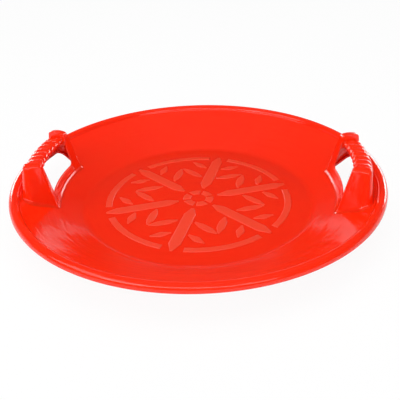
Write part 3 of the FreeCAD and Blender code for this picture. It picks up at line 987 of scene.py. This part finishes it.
def floor_material(rim):
    """White floor: plain white to the camera and in reflections, with part of its own shade kept.

    Under the sled, within its rim, hardly any light falls, and reflections show the floor's own shade.
    """
    material = bpy.data.materials.new("white_floor")
    material.use_nodes = True
    tree = material.node_tree
    tree.nodes.clear()
    kinds = ("OutputMaterial", "Emission", "LightPath", "MixShader", "TexCoord")
    out, glow, path, mix, place = (add_node(tree, kind) for kind in kinds)
    paint = add_node(tree, "BsdfDiffuse", {"Color": FLOOR_GREY})
    away = add_node(tree, "VectorMath", operation="LENGTH")
    lit = add_node(tree, "MapRange", {"From Min": rim, "From Max": 2 * rim})
    mirrored = add_node(tree, "Math", operation="MULTIPLY")
    seen, through = (add_node(tree, "Math", operation="MAXIMUM") for _ in range(2))
    share = add_node(tree, "Math", {1: FLOOR_GLOW}, "MULTIPLY")
    wire(
        tree,
        (place, "Object", away, 0), (away, "Value", lit, "Value"), (path, "Is Glossy Ray", mirrored, 0),
        (lit, "Result", mirrored, 1), (path, "Is Camera Ray", seen, 0), (mirrored, 0, seen, 1),
        (seen, 0, through, 0), (path, "Is Transmission Ray", through, 1), (through, 0, share, 0),
        (share, 0, mix, "Fac"), (paint, 0, mix, 1), (glow, 0, mix, 2), (mix, 0, out, "Surface"),
    )
    return material


def card_material():
    """Black of the card that stands behind the camera and shows in the gloss alone."""
    material = bpy.data.materials.new("black_card")
    material.use_nodes = True
    set_inputs(material.node_tree.nodes["Principled BSDF"], {"Base Color": CARD_BLACK, "Roughness": 1})
    return material


def add_light(name, place, width, depth, power, seen):
    """Area light that faces the middle of the floor, and shows in reflections or not."""
    data = bpy.data.lights.new(name, "AREA")
    data.shape = "RECTANGLE"
    data.size, data.size_y, data.energy = width, depth, power
    light = bpy.data.objects.new(name, data)
    bpy.context.scene.collection.objects.link(light)
    light.location = place
    light.rotation_mode = "QUATERNION"
    light.rotation_quaternion = (Vector() - Vector(place)).to_track_quat("-Z", "Y")
    light.visible_glossy = seen


def studio_world():
    """World that is pale round the horizon, dark above it and dim overhead, by each direction's height.

    That is what the light and the gloss see of it. The camera sees plain white all over.
    """
    world = bpy.data.worlds.new("studio")
    world.use_nodes = True
    tree = world.node_tree
    kinds = ("TexCoord", "SeparateXYZ", "ValToRGB", "LightPath")
    place, split, ramp, path = (add_node(tree, kind) for kind in kinds)
    plain, tint = add_node(tree, "Math", operation="MAXIMUM"), add_tint(tree, B=WHITE)
    stops = ramp.color_ramp.elements
    while len(stops) < len(SKY):
        stops.new(1)
    for stop, (elevation, glow) in zip(stops, SKY):
        stop.position = math.sin(math.radians(elevation))
        stop.color = (glow, glow, glow, 1)
    wire(
        tree,
        (place, "Generated", split, "Vector"), (split, "Z", ramp, "Fac"),
        (path, "Is Camera Ray", plain, 0), (path, "Is Transmission Ray", plain, 1),
        (plain, 0, tint, "Factor"), (ramp, "Color", tint, "A"),
        (tint, "Result", tree.nodes["Background"], "Color"),
    )
    return world


def add_band(name, points, material):
    """Part of the stage: a sheet between two rows of points."""
    faces = cells(np.arange(points[..., 0].size).reshape(points.shape[:2]))
    return add_mesh(name, points.reshape(-1, 3), faces, material)


class SLED_OT_stage(bpy.types.Operator):
    """Make the floor, the lights and the camera"""

    bl_idname = "sled.stage"
    bl_label = "Stage"

    def execute(self, context):
        scene = context.scene
        stage = scene.sled_stage
        turn = np.linspace(0, math.tau, FLOOR_SIDES + 1)
        disc = polar(np.array((0, stage.floor_radius))[:, None], turn, -stage.floor_gap)
        floor = add_band("floor", disc, floor_material(scene.sled_dish.rim_radius))
        floor.data.flip_normals()
        turn = np.linspace(math.pi, math.tau, CARD_SIDES + 1)
        screen = polar(stage.card_radius, turn, np.array((0, stage.card_height))[:, None])
        card = add_band("dark_card", screen, card_material())
        card.visible_camera = card.visible_diffuse = card.visible_shadow = False
        for name, values in LIGHTS.items():
            add_light(name, *values)
        scene.world = studio_world()
        scene.view_settings.view_transform = "Standard"
        back = Vector((math.sin(stage.azimuth) * math.cos(stage.elevation),
                       -math.cos(stage.azimuth) * math.cos(stage.elevation), math.sin(stage.elevation)))
        data = bpy.data.cameras.new("camera")
        data.lens = stage.lens
        camera = bpy.data.objects.new("camera", data)
        scene.collection.objects.link(camera)
        camera.location = Vector((0, 0, scene.sled_dish.wall_thickness)) + back * stage.distance
        look = (Vector((stage.aim_side, 0, stage.aim_height)) - camera.location).to_track_quat("-Z", "Y")
        camera.rotation_mode = "QUATERNION"
        camera.rotation_quaternion = look @ Quaternion((0, 0, 1), stage.roll)
        scene.camera = camera
        return {"FINISHED"}


class SLED_PT_panel(bpy.types.Panel):
    """Settings and pieces of the sled"""

    bl_label = "Saucer sled"
    bl_idname = "SLED_PT_panel"
    bl_space_type = "VIEW_3D"
    bl_region_type = "UI"
    bl_category = "Sled"

    def draw(self, context):
        for name, group in SETTINGS.items():
            box = self.layout.box()
            box.label(text=group.__doc__)
            for setting in group.__annotations__:
                box.prop(getattr(context.scene, name), setting)
        for operator in OPERATORS:
            self.layout.operator(operator.bl_idname)


SETTINGS = {
    "sled_dish": SledDishSettings,
    "sled_handle": SledHandleSettings,
    "sled_relief": SledReliefSettings,
    "sled_finish": SledFinishSettings,
    "sled_stage": SledStageSettings,
}
OPERATORS = (SLED_OT_dish, SLED_OT_posts, SLED_OT_grips, SLED_OT_sills, SLED_OT_relief, SLED_OT_stage)
CLASSES = (*SETTINGS.values(), *OPERATORS, SLED_PT_panel)


def register():
    """Add the classes and the scene's settings."""
    for item in CLASSES:
        bpy.utils.register_class(item)
    for name, group in SETTINGS.items():
        setattr(bpy.types.Scene, name, PointerProperty(type=group))


def unregister():
    """Take the settings and the classes away again."""
    for name in SETTINGS:
        delattr(bpy.types.Scene, name)
    for item in reversed(CLASSES):
        bpy.utils.unregister_class(item)


def main():
    """Build the sled and its stage."""
    register()
    bpy.ops.sled.dish()
    bpy.ops.sled.posts()
    bpy.ops.sled.grips()
    bpy.ops.sled.sills()
    bpy.ops.sled.relief()
    bpy.ops.sled.stage()


if __name__ == "__main__":
    main()
